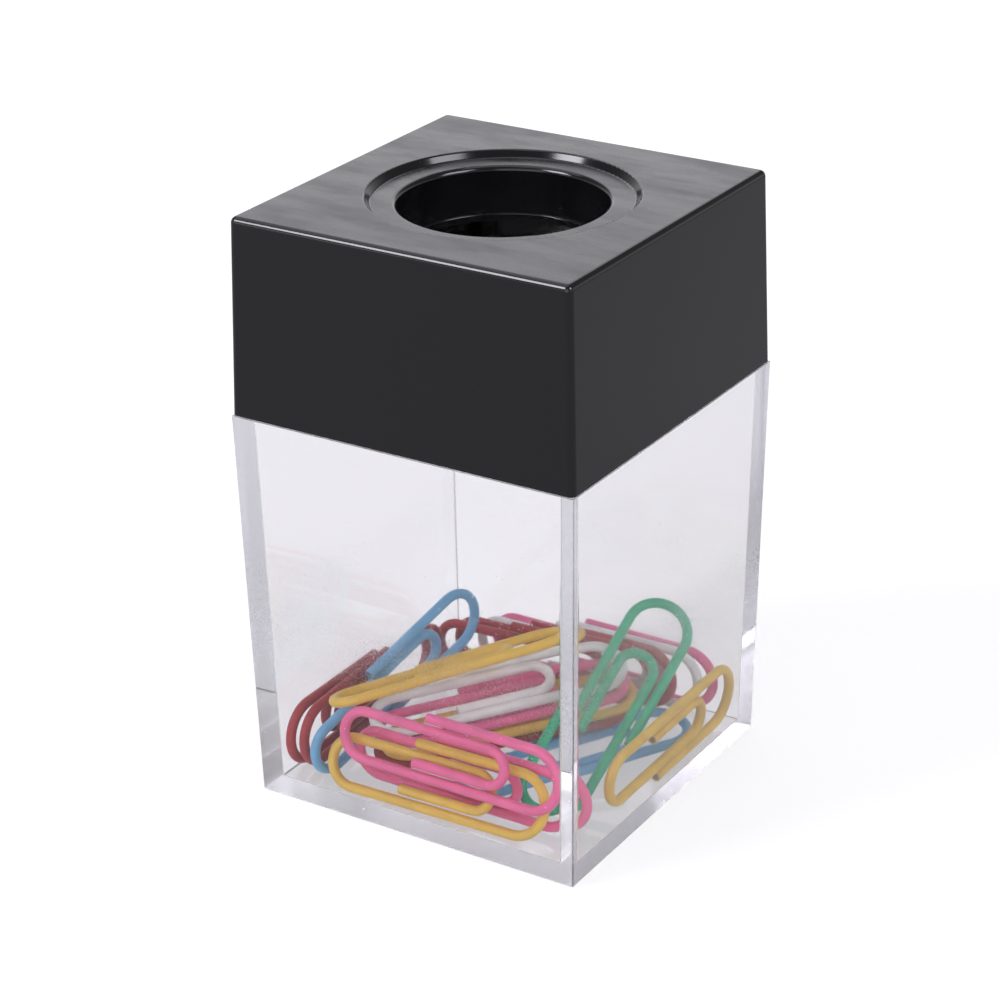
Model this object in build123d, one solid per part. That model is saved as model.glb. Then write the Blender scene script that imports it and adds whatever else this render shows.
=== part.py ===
from build123d import *
import math
import os

import numpy as np

# Magnetic paper clip holder: a clear square box of coloured clips under a black cap.
# Millimetres, +Z up, origin in the middle of the underside, front face towards -Y.

# Black cap
CAP_SKIRT_WIDTH = 42.1
CAP_HEIGHT = 22.0
CAP_DRAFT = 1.5
CAP_WALL = 0.9
CAP_TOP_THICKNESS = 2.0
CAP_EDGE_ROUND = 0.7

# Round dish in the top of the cap, with the well that the clips come up through
DISH_DIAMETER = 29.2
DISH_DEPTH = 0.8
DISH_SLOPE = 0.6
DISH_LIP_ROUND = 0.35
DISH_FOOT_ROUND = 0.3
WELL_DIAMETER = 22.3
WELL_WALL = 1.2
WELL_LIP_ROUND = 0.6

# Ribs inside the skirt that land on the rim of the box
STOP_RIB_WIDTH = 1.2
STOP_RIB_DEPTH = 1.1
STOP_RIB_SPACING = 28.0
STOP_GAP = 0.1

# Ring magnet round the well, and the tray bonded to the well's lower end that holds it up
MAGNET_THICKNESS = 3.0
MAGNET_CHAMFER = 0.3
MAGNET_CLEARANCE = 0.2
TRAY_SEAT = 1.1
TRAY_LIP_THICKNESS = 0.8
TRAY_LIP_REACH = 0.25
TRAY_LIP_ROUND = 0.15
TRAY_RIM_WALL = 0.8
TRAY_RIM_HEIGHT = 1.6
TRAY_EDGE_CLEARANCE = 0.45
TRAY_BOND_GAP = 0.05

# Clear box
LEDGE_HEIGHT = 45.7
LEDGE_REACH = 0.05
SEAT_GAP = 0.15
BOX_DRAFT = 1.06
BOX_WALL = 2.1
FLOOR_THICKNESS = 1.8
NECK_HEIGHT = 5.0
FIT_CLEARANCE = 0.1
BOX_EDGE_ROUND = 0.2
CAVITY_ROUND = 0.2

# One paper clip, bent flat from vinyl-coated wire
WIRE_DIAMETER = 1.15
CLIP_LENGTH = 28.5
CLIP_WIDTH = 8.0
RUN_GAP = 0.2
INNER_BEND_SETBACK = 6.7
OUTER_END_INSET = 11.1
INNER_END_INSET = 9.8

# The pile: each clip keeps the turn given here and drops until it lies on something.
# Name, then its place across and back as shares of the room between the walls, where 1 is
# against a wall, then heading, slope along its length and lean, in degrees.
PILE_GAP = 0.2
SAMPLE_SPACING = 0.35
PILE = [
    ("clip_red_1", -1, -1, -90, 0, 90),
    ("clip_red_2", -0.91, -0.9, -90, -3, 90),
    ("clip_yellow_1", 1, 1, 90, 1, -87),
    ("clip_blue_2", 0.8, 0.15, 62, 0, 4),
    ("clip_yellow_2", 0.35, -1, 0, 1, 69),
    ("clip_pink_1", 0.9, -1, 0, 0, 79),
    ("clip_pink_2", 0.8, -0.78, 0, 0, 90),
    ("clip_blue_1", -0.78, -1, 79, 20, 90),
    ("clip_pink_4", 0.4, 1, 0, 0, 90),
    ("clip_white_1", 0.1, 0.91, 0, 1, 90),
    ("clip_red_4", -0.5, 0.82, -1, 2, 90),
    ("clip_red_3", -0.95, 0.73, -1, 3, 90),
    ("clip_red_5", -0.12, -0.1, 48, 4, 5),
    ("clip_yellow_4", 0, -0.1, 48, 5, 6),
    ("clip_pink_3", -0.1, -0.15, 48, 5, 9),
    ("clip_white_2", -0.14, -0.18, 47, 6, 16),
    ("clip_green_1", 0.88, 0, 86, 34, -150),
    ("clip_yellow_3", -0.5, -0.8, 50, 8, -20),
]

# How near a round edge must come to a wanted size or height to be picked
EDGE_TOLERANCE = 0.01

os.makedirs("parts", exist_ok=True)

# Heights that the pieces share
rim = LEDGE_HEIGHT + NECK_HEIGHT
seat = LEDGE_HEIGHT + SEAT_GAP
cap_top = seat + CAP_HEIGHT
ceiling = cap_top - CAP_TOP_THICKNESS
magnet_bottom = ceiling - MAGNET_THICKNESS
well_bottom = magnet_bottom - TRAY_SEAT
dish_floor = cap_top - DISH_DEPTH


def cap_width(height):
    """Outside width of the cap, which narrows as it rises."""
    return CAP_SKIRT_WIDTH - 2 * (height - seat) * math.tan(math.radians(CAP_DRAFT))


def box_width(height):
    """Outside width of the clear box, which widens as it rises to the ledge."""
    ledge_width = CAP_SKIRT_WIDTH + 2 * LEDGE_REACH
    return ledge_width - 2 * (LEDGE_HEIGHT - height) * math.tan(math.radians(BOX_DRAFT))


def cavity_width(height):
    """Inside width of the clear box, its walls of even thickness."""
    return box_width(height) - 2 * BOX_WALL


def skirt_inside(height):
    """Inside width of the cap's skirt."""
    return cap_width(height) - 2 * CAP_WALL


def neck_width(height):
    """Outside width of the neck that the skirt slides over."""
    return skirt_inside(height) - 2 * FIT_CLEARANCE


def square_block(width_at, bottom, top):
    """Square block between two heights, as wide at each as the given rule says."""
    lower = Plane.XY.offset(bottom) * Rectangle(width_at(bottom), width_at(bottom))
    upper = Plane.XY.offset(top) * Rectangle(width_at(top), width_at(top))
    return loft([lower, upper])


def ring(outer, inner, bottom, top):
    """Round ring between two radii and two heights."""
    face = Plane.XY.offset(bottom) * (Circle(outer) - Circle(inner))
    return extrude(face, amount=top - bottom)


def circles_at(shape, height, radius):
    """Round edges of a shape at one height and radius."""
    rounds = shape.edges().filter_by(GeomType.CIRCLE)
    level = [e for e in rounds if abs(e.center().Z - height) < EDGE_TOLERANCE]
    return [e for e in level if abs(e.radius - radius) < EDGE_TOLERANCE]


# Clear box: tapered walls up to the ledge, and a thin neck above it
body = square_block(box_width, 0, LEDGE_HEIGHT)
low, upright, high = body.edges().group_by(Axis.Z)
body = fillet(low + upright, BOX_EDGE_ROUND)
neck = square_block(neck_width, LEDGE_HEIGHT, rim)
cavity = square_block(cavity_width, FLOOR_THICKNESS, rim)
low, upright, high = cavity.edges().group_by(Axis.Z)
cavity = fillet(low + upright, CAVITY_ROUND)
clear_box = body + neck - cavity
export_step(clear_box, "parts/clear_box.step")

# Cap shell: hollow block, dish and well in its top, stop ribs inside the skirt
shell = square_block(cap_width, seat, cap_top)
low, upright, high = shell.edges().group_by(Axis.Z)
shell = fillet(upright + high, CAP_EDGE_ROUND)
shell -= square_block(skirt_inside, seat, ceiling)

well_radius = WELL_DIAMETER / 2
tube_radius = well_radius + WELL_WALL
shell += Pos(Z=(well_bottom + ceiling) / 2) * Cylinder(tube_radius, ceiling - well_bottom)

rib_bottom = rim + STOP_GAP
rib_height = ceiling - rib_bottom
wall_face = skirt_inside(rib_bottom) / 2
rib = Box(STOP_RIB_DEPTH + CAP_WALL / 2, STOP_RIB_WIDTH, rib_height)
rib = Pos(wall_face - STOP_RIB_DEPTH, 0, rib_bottom) * rib.moved(
    Pos((STOP_RIB_DEPTH + CAP_WALL / 2) / 2, 0, rib_height / 2)
)
for side in range(4):
    for offset in (-STOP_RIB_SPACING / 2, STOP_RIB_SPACING / 2):
        shell += Rot(Z=90 * side) * Pos(Y=offset) * rib
inside_top = square_block(cap_width, seat, cap_top)
shell &= inside_top

dish_radius = DISH_DIAMETER / 2
dish = Cone(dish_radius - DISH_SLOPE, dish_radius, DISH_DEPTH)
shell -= Pos(Z=cap_top - DISH_DEPTH / 2) * dish
shell -= Pos(Z=(well_bottom + cap_top) / 2) * Cylinder(well_radius, cap_top - well_bottom)
shell = fillet(circles_at(shell, cap_top, dish_radius), DISH_LIP_ROUND)
shell = fillet(circles_at(shell, dish_floor, dish_radius - DISH_SLOPE), DISH_FOOT_ROUND)
shell = fillet(circles_at(shell, dish_floor, well_radius), WELL_LIP_ROUND)
export_step(shell, "parts/cap_shell.step")

# Ring magnet, pushed up the well tube against the underside of the top; it and the tray
# are as wide as the skirt leaves room for
rim_outside = skirt_inside(ceiling) / 2 - TRAY_EDGE_CLEARANCE
rim_inside = rim_outside - TRAY_RIM_WALL
magnet_radius = rim_inside - MAGNET_CLEARANCE
magnet = ring(magnet_radius, tube_radius + MAGNET_CLEARANCE, magnet_bottom, ceiling)
magnet = chamfer(magnet.edges().filter_by(GeomType.CIRCLE), MAGNET_CHAMFER)
export_step(magnet, "parts/ring_magnet.step")

# Tray: a seat round the tube, a lip under the tube's end and a rim round the magnet
tray_bottom = well_bottom - TRAY_LIP_THICKNESS
tray = ring(rim_outside, tube_radius + TRAY_BOND_GAP, tray_bottom, magnet_bottom)
tray += ring(rim_outside, well_radius - TRAY_LIP_REACH, tray_bottom, well_bottom)
tray += ring(rim_outside, rim_inside, magnet_bottom, magnet_bottom + TRAY_RIM_HEIGHT)
lip_edge = circles_at(tray, well_bottom, well_radius - TRAY_LIP_REACH)
tray = fillet(lip_edge, TRAY_LIP_ROUND)
export_step(tray, "parts/magnet_tray.step")

# One clip lying flat, its single bend towards -X and its double bend towards +X
outer_run = (CLIP_WIDTH - WIRE_DIAMETER) / 2
inner_run = outer_run - WIRE_DIAMETER - RUN_GAP
left_end = -(CLIP_LENGTH - WIRE_DIAMETER) / 2
right_end = -left_end
single_bend = (inner_run + outer_run) / 2
single_middle = (inner_run - outer_run) / 2
inner_apex = right_end - INNER_BEND_SETBACK
inner_start = (-CLIP_LENGTH / 2 + INNER_END_INSET, -inner_run)
inner_low = (inner_apex - inner_run, -inner_run)
inner_high = (inner_apex - inner_run, inner_run)
single_high = (left_end + single_bend, inner_run)
single_low = (left_end + single_bend, -outer_run)
outer_low = (right_end - outer_run, -outer_run)
outer_high = (right_end - outer_run, outer_run)
outer_stop = (-CLIP_LENGTH / 2 + OUTER_END_INSET, outer_run)
centreline = Wire(
    [
        Line(inner_start, inner_low).edge(),
        ThreePointArc(inner_low, (inner_apex, 0), inner_high).edge(),
        Line(inner_high, single_high).edge(),
        ThreePointArc(single_high, (left_end, single_middle), single_low).edge(),
        Line(single_low, outer_low).edge(),
        ThreePointArc(outer_low, (right_end, 0), outer_high).edge(),
        Line(outer_high, outer_stop).edge(),
    ]
)
cut_end = Plane(origin=centreline @ 0, z_dir=centreline % 0) * Circle(WIRE_DIAMETER / 2)
clip = sweep(cut_end, path=centreline)
samples = int(centreline.length / SAMPLE_SPACING)
wire_points = np.array([tuple(centreline @ (i / samples)) for i in range(samples + 1)])


def rest_height(points, settled):
    """How far a clip must be lifted so that it just lies on the floor or on a clip below it."""
    height = FLOOR_THICKNESS + PILE_GAP + WIRE_DIAMETER / 2 - points[:, 2].min()
    reach = WIRE_DIAMETER + PILE_GAP
    for other in settled:
        apart = points[:, None, :2] - other[None, :, :2]
        room = reach**2 - (apart**2).sum(axis=2)
        lift = other[None, :, 2] - points[:, None, 2] + np.sqrt(np.maximum(room, 0))
        touching = lift[room > 0]
        if touching.size:
            height = max(height, touching.max())
    return height


# Drop the clips one after another, each inside the walls
wall_reach = cavity_width(FLOOR_THICKNESS) / 2 - PILE_GAP - WIRE_DIAMETER / 2
settled = []
for name, across, back, heading, slope, lean in PILE:
    turn = Rot(Z=heading) * Rot(Y=-slope) * Rot(X=lean)
    points = np.array([tuple((turn * Pos(*p)).position) for p in wire_points])
    low, high = points.min(axis=0), points.max(axis=0)
    room = wall_reach - (high - low) / 2
    shift = np.array([across, back, 0]) * room - (low + high) / 2
    points += shift
    lift = rest_height(points, settled)
    shift[2] += lift
    points[:, 2] += lift
    settled.append(points)
    export_step(Pos(*shift) * turn * clip, f"parts/{name}.step")
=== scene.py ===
import math

import bmesh
import bpy
from mathutils import Matrix, Vector


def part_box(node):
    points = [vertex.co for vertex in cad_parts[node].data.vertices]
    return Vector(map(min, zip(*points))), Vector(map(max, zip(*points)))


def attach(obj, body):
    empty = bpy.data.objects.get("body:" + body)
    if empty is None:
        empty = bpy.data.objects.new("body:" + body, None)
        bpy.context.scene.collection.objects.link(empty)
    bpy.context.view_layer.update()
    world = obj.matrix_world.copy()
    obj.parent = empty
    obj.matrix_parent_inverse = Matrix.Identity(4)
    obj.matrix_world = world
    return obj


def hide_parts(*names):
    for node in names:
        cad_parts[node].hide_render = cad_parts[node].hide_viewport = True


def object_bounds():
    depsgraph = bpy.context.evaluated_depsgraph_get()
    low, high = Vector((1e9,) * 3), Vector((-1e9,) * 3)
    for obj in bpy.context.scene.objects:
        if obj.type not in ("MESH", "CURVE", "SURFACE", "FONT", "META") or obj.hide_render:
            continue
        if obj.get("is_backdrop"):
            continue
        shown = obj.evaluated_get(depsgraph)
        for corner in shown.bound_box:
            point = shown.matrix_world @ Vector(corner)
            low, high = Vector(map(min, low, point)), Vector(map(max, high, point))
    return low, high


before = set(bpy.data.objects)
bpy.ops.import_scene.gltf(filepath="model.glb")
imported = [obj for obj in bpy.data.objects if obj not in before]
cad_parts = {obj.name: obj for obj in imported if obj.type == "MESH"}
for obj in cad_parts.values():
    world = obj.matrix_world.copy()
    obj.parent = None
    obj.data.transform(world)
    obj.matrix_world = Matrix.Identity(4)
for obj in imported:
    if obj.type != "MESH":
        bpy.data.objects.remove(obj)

# Camera
# The holder is seen from a little above, over its front right edge, through a long lens.
# The horizon is a touch off level.
MM = 0.001
VIEW_AZIMUTH = math.radians(32.58)
VIEW_ELEVATION = math.radians(24.86)
VIEW_ROLL = math.radians(-0.96)
VIEW_DISTANCE = 317.28 * MM
VIEW_TARGET = Vector((-0.709, -0.453, 32.403)) * MM
LENS_LENGTH = 104.06
SENSOR_WIDTH = 36

scene = bpy.context.scene
scene.view_settings.view_transform = "Standard"
toward_camera = Vector((
    math.sin(VIEW_AZIMUTH) * math.cos(VIEW_ELEVATION),
    -math.cos(VIEW_AZIMUTH) * math.cos(VIEW_ELEVATION),
    math.sin(VIEW_ELEVATION),
))
camera_data = bpy.data.cameras.new("camera")
camera_data.lens = LENS_LENGTH
camera_data.sensor_width = SENSOR_WIDTH
camera = bpy.data.objects.new("camera", camera_data)
camera.rotation_mode = "QUATERNION"
level_turn = (-toward_camera).to_track_quat("-Z", "Y")
camera.rotation_quaternion = level_turn @ Matrix.Rotation(VIEW_ROLL, 3, "Z").to_quaternion()
camera.location = VIEW_TARGET + VIEW_DISTANCE * toward_camera
scene.collection.objects.link(camera)
scene.camera = camera

# Floor and light
# A pale sweep of board carries the holder, in a white surround under a dim ceiling. Soft lamps
# stand all round; the one behind gives the cap's top its sheen, a low one lights its front edge.
FLOOR_SIZE = 4.0
FLOOR_DROP = 0.15 * MM
FLOOR_COLOUR = (0.33, 0.33, 0.34, 1)
FLOOR_BOOST = 0.72
WHITE = (1, 1, 1, 1)
HORIZON_LIGHT = 0.8
HORIZON_TOP = 0.1
CEILING_LIGHT = 0.12
CEILING_FOOT = 0.4
GLOSS_SHARE = 0.1
THROUGH_SHARE = 0.87
TURNED_SHARE = 0.7
LAMP_COLOUR = (0.985, 0.965, 1.03)
LAMPS = {
    "overhead_lamp": ((-0.3, 0.1, 1.0), 0.9, 2.5),
    "back_lamp": ((-0.45, 0.75, 0.5), 0.6, 1.35),
    "front_lamp": ((-0.59, -0.78, 0.84), 0.5, 11.0),
    "right_lamp": ((0.95, 0.0, 0.85), 0.6, 8.0),
    "fill_lamp": ((0.25, -1.2, 0.4), 1.2, 5.0),
    "low_lamp": ((-0.92, -1.18, 0.23), 0.3, 0.4),
}

cad_low, cad_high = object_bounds()


def add_node(tree, kind, **sockets):
    """Adds a shader node and sets its sockets, named with _ for each space."""
    node = tree.nodes.new(kind)
    for label, value in sockets.items():
        node.inputs[label.replace("_", " ")].default_value = value
    return node


def join(tree, operation, first, second):
    """Works out one value from two shader values; the second may be a plain number."""
    node = add_node(tree, "ShaderNodeMath")
    node.operation = operation
    tree.links.new(first, node.inputs[0])
    if isinstance(second, float):
        node.inputs[1].default_value = second
    else:
        tree.links.new(second, node.inputs[1])
    return node.outputs[0]


def spread(tree, value, low, high, to_low, to_high):
    """Maps a shader value from one range to another."""
    stretch = add_node(
        tree, "ShaderNodeMapRange", From_Min=low, From_Max=high, To_Min=to_low, To_Max=to_high
    )
    tree.links.new(value, stretch.inputs["Value"])
    return stretch.outputs[0]


def seen_directly(tree):
    """Gives 1 for a ray straight from the camera, a share for one that came through clear walls,
    was turned inside them or was mirrored by a gloss, and 0 for plain lighting."""
    path = add_node(tree, "ShaderNodeLightPath")
    turned = join(tree, "GREATER_THAN", path.outputs["Glossy Depth"], 0.5)
    kept = spread(tree, turned, 0.0, 1.0, THROUGH_SHARE, TURNED_SHARE)
    through = join(tree, "MULTIPLY", path.outputs["Is Transmission Ray"], kept)
    mirrored = join(tree, "MULTIPLY", path.outputs["Is Glossy Ray"], GLOSS_SHARE)
    return join(tree, "MAXIMUM", path.outputs["Is Camera Ray"], join(tree, "MAXIMUM", through, mirrored))


world = bpy.data.worlds.new("white_surround")
scene.world = world
world.use_nodes = True
tree = world.node_tree
tree.nodes.clear()
outward = add_node(tree, "ShaderNodeTexCoord")
height = add_node(tree, "ShaderNodeSeparateXYZ")
tree.links.new(outward.outputs["Generated"], height.inputs[0])
room = spread(tree, height.outputs["Z"], HORIZON_TOP, CEILING_FOOT, HORIZON_LIGHT, CEILING_LIGHT)
level = add_node(tree, "ShaderNodeMapRange", To_Max=1.0)
tree.links.new(seen_directly(tree), level.inputs["Value"])
tree.links.new(room, level.inputs["To Min"])
surround = add_node(tree, "ShaderNodeBackground", Color=WHITE)
tree.links.new(level.outputs[0], surround.inputs["Strength"])
world_end = add_node(tree, "ShaderNodeOutputWorld")
tree.links.new(surround.outputs[0], world_end.inputs["Surface"])

floor_skin = bmesh.new()
bmesh.ops.create_grid(floor_skin, x_segments=1, y_segments=1, size=FLOOR_SIZE / 2)
floor_mesh = bpy.data.meshes.new("floor")
floor_skin.to_mesh(floor_mesh)
floor_skin.free()
floor = bpy.data.objects.new("floor", floor_mesh)
floor.location.z = -FLOOR_DROP
scene.collection.objects.link(floor)

board = bpy.data.materials.new("pale_board")
board.use_nodes = True
tree = board.node_tree
tree.nodes.clear()
matt = add_node(tree, "ShaderNodeBsdfDiffuse", Color=FLOOR_COLOUR)
lift = add_node(tree, "ShaderNodeEmission", Color=WHITE)
tree.links.new(join(tree, "MULTIPLY", seen_directly(tree), FLOOR_BOOST), lift.inputs["Strength"])
both = add_node(tree, "ShaderNodeAddShader")
tree.links.new(matt.outputs[0], both.inputs[0])
tree.links.new(lift.outputs[0], both.inputs[1])
board_end = add_node(tree, "ShaderNodeOutputMaterial")
tree.links.new(both.outputs[0], board_end.inputs["Surface"])
floor_mesh.materials.append(board)
floor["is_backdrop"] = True

aim = Vector((0, 0, cad_high.z / 2))
for lamp_name, (place, width, power) in LAMPS.items():
    lamp_data = bpy.data.lights.new(lamp_name, "AREA")
    lamp_data.shape = "SQUARE"
    lamp_data.size = width
    lamp_data.energy = power
    lamp_data.color = LAMP_COLOUR
    lamp = bpy.data.objects.new(lamp_name, lamp_data)
    lamp.location = place
    lamp.rotation_mode = "QUATERNION"
    lamp.rotation_quaternion = (aim - lamp.location).to_track_quat("-Z", "Y")
    lamp.visible_camera = False
    scene.collection.objects.link(lamp)

# Clear box
# One moulding of clear polystyrene: tapered walls, a floor and a thin neck that the cap slides over.
# Polished and faintly lilac, it has fine scuffs, a band rubbed by the clips and a dulled underside.
CLEAR_COLOUR = (0.945, 0.94, 0.952, 1)
CLEAR_INDEX = 1.58
DEPTH_COLOUR = (0.68, 0.68, 0.745, 1)
DEPTH_DENSITY = 14.0
WALL_SHEEN = (0.45, 0.45, 0.48, 1)
POLISH = 0.025
SCUFFED = 0.35
SCUFF_SIZE = 0.35 * MM
SCUFF_RANGE = (0.66, 0.78)
RUB_GRAIN = 0.1 * MM
RUB_RANGE = (0.55, 0.65)
RUB_FOOT, RUB_TOP, RUB_FADE = 18 * MM, 23 * MM, 4 * MM
UNDERSIDE_DEPTH = 0.2 * MM
UNDERSIDE_SCUFFED = 0.26
WALL_PASSES = 24

scene.cycles.max_bounces = WALL_PASSES
scene.cycles.glossy_bounces = WALL_PASSES
scene.cycles.transmission_bounces = WALL_PASSES


def new_finish(name, **sockets):
    """Starts a material of one plastic or metal, and gives its tree and shader."""
    material = bpy.data.materials.new(name)
    material.use_nodes = True
    tree = material.node_tree
    tree.nodes.clear()
    shader = add_node(tree, "ShaderNodeBsdfPrincipled", **sockets)
    end = add_node(tree, "ShaderNodeOutputMaterial")
    tree.links.new(shader.outputs[0], end.inputs["Surface"])
    return material, tree, shader


def grain(tree, size, detail=3.0):
    """Noise with features of one size, the same all over the piece."""
    place = add_node(tree, "ShaderNodeTexCoord")
    noise = add_node(tree, "ShaderNodeTexNoise", Scale=1 / size, Detail=detail)
    tree.links.new(place.outputs["Object"], noise.inputs["Vector"])
    return noise.outputs["Fac"]


clear_styrene, tree, shader = new_finish(
    "clear_styrene",
    Base_Color=CLEAR_COLOUR,
    IOR=CLEAR_INDEX,
    Transmission_Weight=1.0,
    Specular_Tint=WALL_SHEEN,
)
scuffs = spread(tree, grain(tree, SCUFF_SIZE), *SCUFF_RANGE, POLISH, SCUFFED)
place = add_node(tree, "ShaderNodeTexCoord")
height = add_node(tree, "ShaderNodeSeparateXYZ")
tree.links.new(place.outputs["Object"], height.inputs[0])
over_foot = spread(tree, height.outputs["Z"], RUB_FOOT - RUB_FADE, RUB_FOOT, 0.0, 1.0)
under_top = spread(tree, height.outputs["Z"], RUB_TOP, RUB_TOP + RUB_FADE, 1.0, 0.0)
rub_marks = spread(tree, grain(tree, RUB_GRAIN), *RUB_RANGE, 0.0, SCUFFED)
clip_rubs = join(tree, "MULTIPLY", rub_marks, join(tree, "MULTIPLY", over_foot, under_top))
underside = spread(tree, height.outputs["Z"], 0.0, UNDERSIDE_DEPTH, UNDERSIDE_SCUFFED, 0.0)
handled = join(tree, "MAXIMUM", scuffs, join(tree, "MAXIMUM", clip_rubs, underside))
tree.links.new(handled, shader.inputs["Roughness"])
depth = add_node(tree, "ShaderNodeVolumeAbsorption", Color=DEPTH_COLOUR, Density=DEPTH_DENSITY)
tree.links.new(depth.outputs[0], tree.nodes["Material Output"].inputs["Volume"])
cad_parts["clear_box"].material_slots[0].material = clear_styrene

# Paper clips
# Eighteen small clips lie in a loose pile. Each is one steel wire in a coloured vinyl
# coat, bent flat in three round bends, with both ends sheared off square.
WIRE_RADIUS = 0.575 * MM
CORE_RADIUS = 0.40 * MM
CORE_SINK = 0.04 * MM
CLIP_LENGTH = 28.5 * MM
CLIP_WIDTH = 8.0 * MM
RUN_GAP = 0.2 * MM
INNER_BEND_SETBACK = 6.7 * MM
OUTER_END_INSET = 11.1 * MM
INNER_END_INSET = 9.8 * MM
ROUND_STEPS = 16
BEND_STEPS = 20
SHARP_ANGLE = math.radians(50)
STEEL_COLOUR = (0.35, 0.34, 0.33, 1)
SHEAR_GRAIN = 0.1 * MM
SHEAR_ROUGHNESS = (0.35, 0.6)
USUAL_NOISE = (0.3, 0.7)
TINT_SIZE = 3 * MM
TINT_VALUES = (0.9, 1.08)
SKIN_SIZE = 0.6 * MM
SKIN_ROUGHNESS = (0.3, 0.48)
SKIN_SHEEN = 0.3
PIMPLE_SIZE = 0.25 * MM
PIMPLE_HEIGHT = 0.02 * MM
PIMPLE_STRENGTH = 0.15
VINYL = {
    "red": (0.44, 0.045, 0.05, 1),
    "yellow": (0.84, 0.55, 0.10, 1),
    "pink": (0.93, 0.18, 0.38, 1),
    "blue": (0.205, 0.49, 0.78, 1),
    "green": (0.04, 0.47, 0.245, 1),
    "white": (0.95, 0.95, 0.96, 1),
}
CLIP_TURNS = {
    "clip_red_1": (-90, 0, 90),
    "clip_red_2": (-90, -3, 90),
    "clip_yellow_1": (90, 1, -87),
    "clip_blue_2": (62, 0, 4),
    "clip_yellow_2": (0, 1, 69),
    "clip_pink_1": (0, 0, 79),
    "clip_pink_2": (0, 0, 90),
    "clip_blue_1": (79, 20, 90),
    "clip_pink_4": (0, 0, 90),
    "clip_white_1": (0, 1, 90),
    "clip_red_4": (-1, 2, 90),
    "clip_red_3": (-1, 3, 90),
    "clip_red_5": (48, 4, 5),
    "clip_yellow_4": (48, 5, 6),
    "clip_pink_3": (48, 5, 9),
    "clip_white_2": (47, 6, 16),
    "clip_green_1": (86, 34, -150),
    "clip_yellow_3": (50, 8, -20),
}

cut_steel, tree, shader = new_finish("cut_steel", Base_Color=STEEL_COLOUR, Metallic=1.0)
sheared = spread(tree, grain(tree, SHEAR_GRAIN), *USUAL_NOISE, *SHEAR_ROUGHNESS)
tree.links.new(sheared, shader.inputs["Roughness"])


def vinyl_coat(colour_name, colour):
    """Satin vinyl: colour a little uneven along the wire, and a faint skin texture."""
    material, tree, shader = new_finish(
        f"{colour_name}_vinyl_coat", Base_Color=colour, Specular_IOR_Level=SKIN_SHEEN
    )
    tint = add_node(tree, "ShaderNodeHueSaturation", Color=colour)
    uneven = spread(tree, grain(tree, TINT_SIZE), *USUAL_NOISE, *TINT_VALUES)
    tree.links.new(uneven, tint.inputs["Value"])
    tree.links.new(tint.outputs[0], shader.inputs["Base Color"])
    satin = spread(tree, grain(tree, SKIN_SIZE), *USUAL_NOISE, *SKIN_ROUGHNESS)
    tree.links.new(satin, shader.inputs["Roughness"])
    bump = add_node(tree, "ShaderNodeBump", Strength=PIMPLE_STRENGTH, Distance=PIMPLE_HEIGHT)
    tree.links.new(grain(tree, PIMPLE_SIZE), bump.inputs["Height"])
    tree.links.new(bump.outputs[0], shader.inputs["Normal"])
    return material


coats = {colour_name: vinyl_coat(colour_name, colour) for colour_name, colour in VINYL.items()}

outer_run = CLIP_WIDTH / 2 - WIRE_RADIUS
inner_run = outer_run - 2 * WIRE_RADIUS - RUN_GAP
right_end = CLIP_LENGTH / 2 - WIRE_RADIUS
single_bend = (inner_run + outer_run) / 2


def bend(centre_x, centre_y, radius, start, stop):
    """Centre points and headings of the wire round one bend, angles in degrees."""
    marks = []
    for step in range(BEND_STEPS + 1):
        angle = math.radians(start + (stop - start) * step / BEND_STEPS)
        outward = Vector((math.cos(angle), math.sin(angle), 0))
        marks.append((Vector((centre_x, centre_y, 0)) + radius * outward, outward))
    return marks


wire_line = [(Vector((INNER_END_INSET - CLIP_LENGTH / 2, -inner_run, 0)), Vector((0, -1, 0)))]
wire_line += bend(right_end - INNER_BEND_SETBACK - inner_run, 0, inner_run, -90, 90)
wire_line += bend(single_bend - right_end, (inner_run - outer_run) / 2, single_bend, 90, 270)
wire_line += bend(right_end - outer_run, 0, outer_run, -90, 90)
wire_line.append((Vector((OUTER_END_INSET - CLIP_LENGTH / 2, outer_run, 0)), Vector((0, 1, 0))))


def wire_ring(skin, centre, outward, radius):
    """One ring of points round the wire."""
    upward = Vector((0, 0, radius))
    ring = []
    for step in range(ROUND_STEPS):
        angle = 2 * math.pi * step / ROUND_STEPS
        ring.append(skin.verts.new(centre + radius * math.cos(angle) * outward + math.sin(angle) * upward))
    return ring


def join_rings(skin, rings):
    """Faces between each ring of points and the next."""
    for near, far in zip(rings, rings[1:]):
        for step in range(ROUND_STEPS):
            after = (step + 1) % ROUND_STEPS
            skin.faces.new((near[step], near[after], far[after], far[step]))


def paper_clip(name, colour_name, turn):
    """Sweeps the coat along the wire's line and closes both ends on the steel core."""
    skin = bmesh.new()
    rings = [wire_ring(skin, centre, outward, WIRE_RADIUS) for centre, outward in wire_line]
    join_rings(skin, rings)
    for ring, (centre, outward) in ((rings[0], wire_line[0]), (rings[-1], wire_line[-1])):
        sunk = centre + Vector((CORE_SINK, 0, 0))
        coat_edge = wire_ring(skin, centre, outward, CORE_RADIUS)
        core_edge = wire_ring(skin, sunk, outward, CORE_RADIUS)
        join_rings(skin, [ring, coat_edge, core_edge])
        skin.faces.new(core_edge).material_index = 1
    bmesh.ops.recalc_face_normals(skin, faces=skin.faces)
    skin.transform(turn.to_4x4())
    mesh = bpy.data.meshes.new(name)
    skin.to_mesh(mesh)
    skin.free()
    mesh.materials.append(coats[colour_name])
    mesh.materials.append(cut_steel)
    mesh.shade_smooth()
    mesh.set_sharp_from_angle(angle=SHARP_ANGLE)
    return bpy.data.objects.new(name, mesh)


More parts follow.
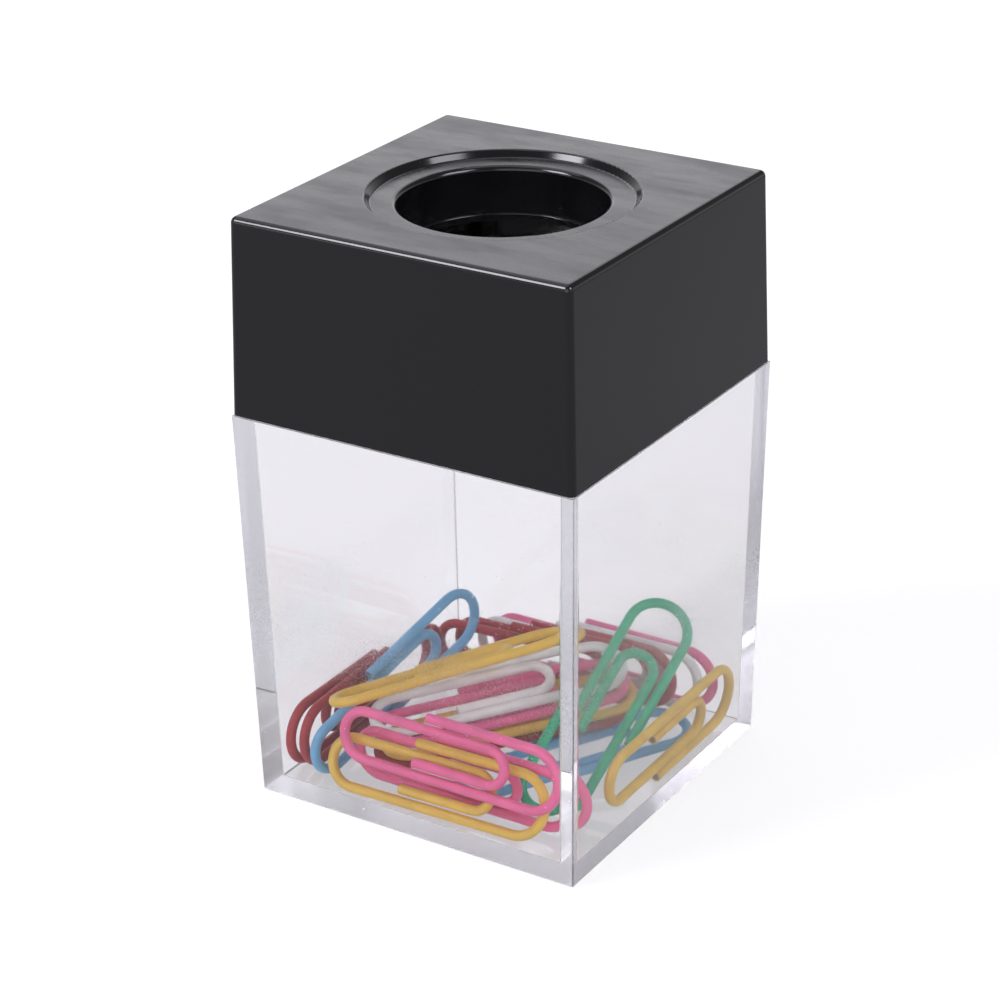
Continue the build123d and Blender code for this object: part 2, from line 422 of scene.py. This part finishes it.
for node_name, (heading, slope, lean) in CLIP_TURNS.items():
    colour_name = node_name.split("_")[1]
    turn = (
        Matrix.Rotation(math.radians(heading), 3, "Z")
        @ Matrix.Rotation(math.radians(-slope), 3, "Y")
        @ Matrix.Rotation(math.radians(lean), 3, "X")
    )
    clip = paper_clip(f"{node_name}_wire", colour_name, turn)
    spots = [vertex.co for vertex in clip.data.vertices]
    low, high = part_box(node_name)
    for axis in range(3):
        middle = (min(spot[axis] for spot in spots) + max(spot[axis] for spot in spots)) / 2
        shift = (low[axis] + high[axis]) / 2 - middle
        for spot in spots:
            spot[axis] += shift
    scene.collection.objects.link(clip)
    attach(clip, "box")
    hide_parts(node_name)

# Ring magnet
# A flat ring of ground ferrite, dull dark grey with a fine grain. It is pushed up the
# well's tube against the underside of the cap's top.
FERRITE_TONES = ((0.035, 0.035, 0.037, 1), (0.12, 0.12, 0.125, 1))
FERRITE_ROUGHNESS = 0.75
FERRITE_GRAIN = 0.3 * MM
FERRITE_DETAIL = 6.0


def between_tones(tree, value, tones):
    """Colour between two tones, by a shader value."""
    ramp = add_node(tree, "ShaderNodeValToRGB")
    for element, tone in zip(ramp.color_ramp.elements, tones):
        element.color = tone
    tree.links.new(value, ramp.inputs["Fac"])
    return ramp.outputs["Color"]


ferrite, tree, shader = new_finish("ferrite", Roughness=FERRITE_ROUGHNESS)
ground = between_tones(tree, grain(tree, FERRITE_GRAIN, FERRITE_DETAIL), FERRITE_TONES)
tree.links.new(ground, shader.inputs["Base Color"])
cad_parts["ring_magnet"].material_slots[0].material = ferrite

# Cap and magnet tray
# Black polystyrene mouldings. Flat faces that look up are satin, rubbed and a little dusty;
# the sides, edges and well are glossy. The tray inside is bonded to the well's lower end.
CAP_COLOUR = (0.004, 0.004, 0.005, 1)
DUST_COLOUR = (0.035, 0.034, 0.038, 1)
FLAT_RANGE = (0.93, 0.995)
RUB_SIZE = 4 * MM
RUB_STRETCH = (0.3, 1.0, 1.0)
RUB_TURN = (0, 0, math.radians(20))
RUB_DETAIL = 5.0
RUB_CONTRAST = 0.65
STREAK_RANGE = (0.40, 0.66)
STREAK_DUST = 0.7
SPECK_SIZE = 0.5 * MM
SPECK_DETAIL = 2.0
SPECK_RANGE = (0.68, 0.76)
GLOSS_ROUGHNESS = 0.13
SATIN_ROUGHNESS = (0.16, 0.42)

black_styrene, tree, shader = new_finish("black_styrene", Base_Color=CAP_COLOUR)
place = add_node(tree, "ShaderNodeTexCoord")
facing = add_node(tree, "ShaderNodeSeparateXYZ")
tree.links.new(place.outputs["Normal"], facing.inputs[0])
flat_top = spread(tree, facing.outputs["Z"], *FLAT_RANGE, 0.0, 1.0)

stretched = add_node(tree, "ShaderNodeMapping", Scale=RUB_STRETCH, Rotation=RUB_TURN)
tree.links.new(place.outputs["Object"], stretched.inputs["Vector"])
rubs = add_node(tree, "ShaderNodeTexNoise", Scale=1 / RUB_SIZE, Detail=RUB_DETAIL, Roughness=RUB_CONTRAST)
tree.links.new(stretched.outputs[0], rubs.inputs["Vector"])
satin = spread(tree, rubs.outputs["Fac"], *USUAL_NOISE, *SATIN_ROUGHNESS)
polish = add_node(tree, "ShaderNodeMix", A=GLOSS_ROUGHNESS)
tree.links.new(flat_top, polish.inputs["Factor"])
tree.links.new(satin, polish.inputs["B"])
tree.links.new(polish.outputs[0], shader.inputs["Roughness"])

streaks = spread(tree, rubs.outputs["Fac"], *STREAK_RANGE, 0.0, STREAK_DUST)
specks = spread(tree, grain(tree, SPECK_SIZE, SPECK_DETAIL), *SPECK_RANGE, 0.0, 1.0)
wear = join(tree, "MULTIPLY", join(tree, "MAXIMUM", streaks, specks), flat_top)
tree.links.new(between_tones(tree, wear, (CAP_COLOUR, DUST_COLOUR)), shader.inputs["Base Color"])
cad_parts["cap_shell"].material_slots[0].material = black_styrene
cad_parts["magnet_tray"].material_slots[0].material = black_styrene

# Size of the dressed object; the CAD box's size was taken before the dressing
low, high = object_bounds()
